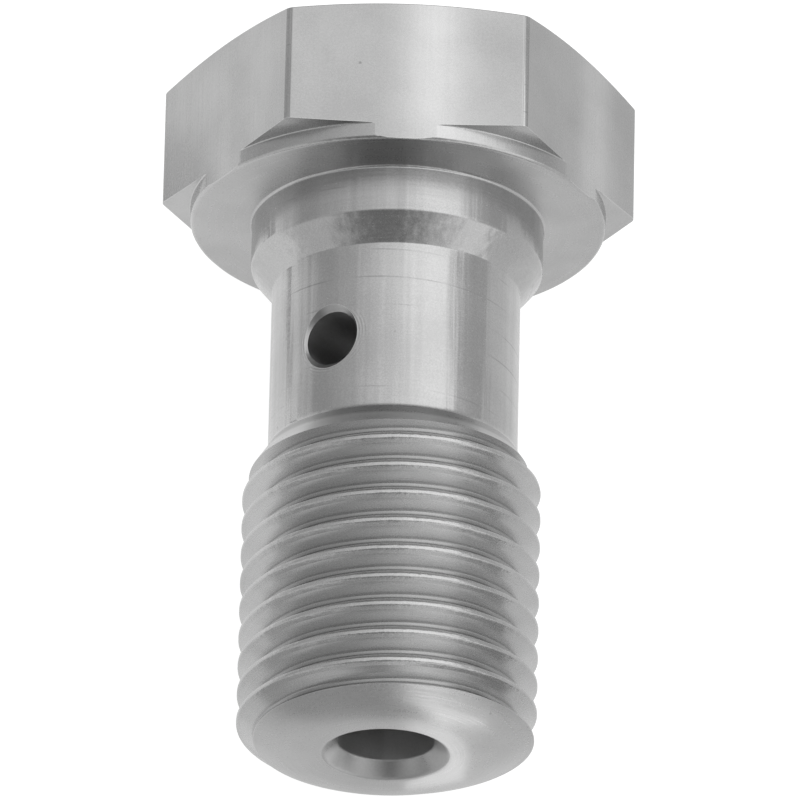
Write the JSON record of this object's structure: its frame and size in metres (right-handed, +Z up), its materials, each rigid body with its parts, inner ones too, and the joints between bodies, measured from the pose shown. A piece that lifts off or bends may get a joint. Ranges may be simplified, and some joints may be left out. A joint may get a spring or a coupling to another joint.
{
  "type": "banjo bolt",
  "caption": "Hollow hexagon-head screw that clamps a banjo hose fitting: a cross hole in its necked shank passes fluid to a blind bore in the threaded end.",
  "frame": {"origin": "on the bolt's axis in the plane of the seat under the head", "axes": "the bolt lies on one flat of its head and on its last thread crest; its axis is in the YZ plane, the head is towards +Y, and the threaded end is towards -Y and 5.9 degrees down; +Z is up"},
  "size_m": [0.0158, 0.0251, 0.0142],
  "materials": {
    "turned_steel": "turned and deburred stainless steel, satin, with fine tool marks round the axis"
  },
  "bodies": {
    "root": {"banjo_bolt": "turned_steel"}
  },
  "joints": []
}
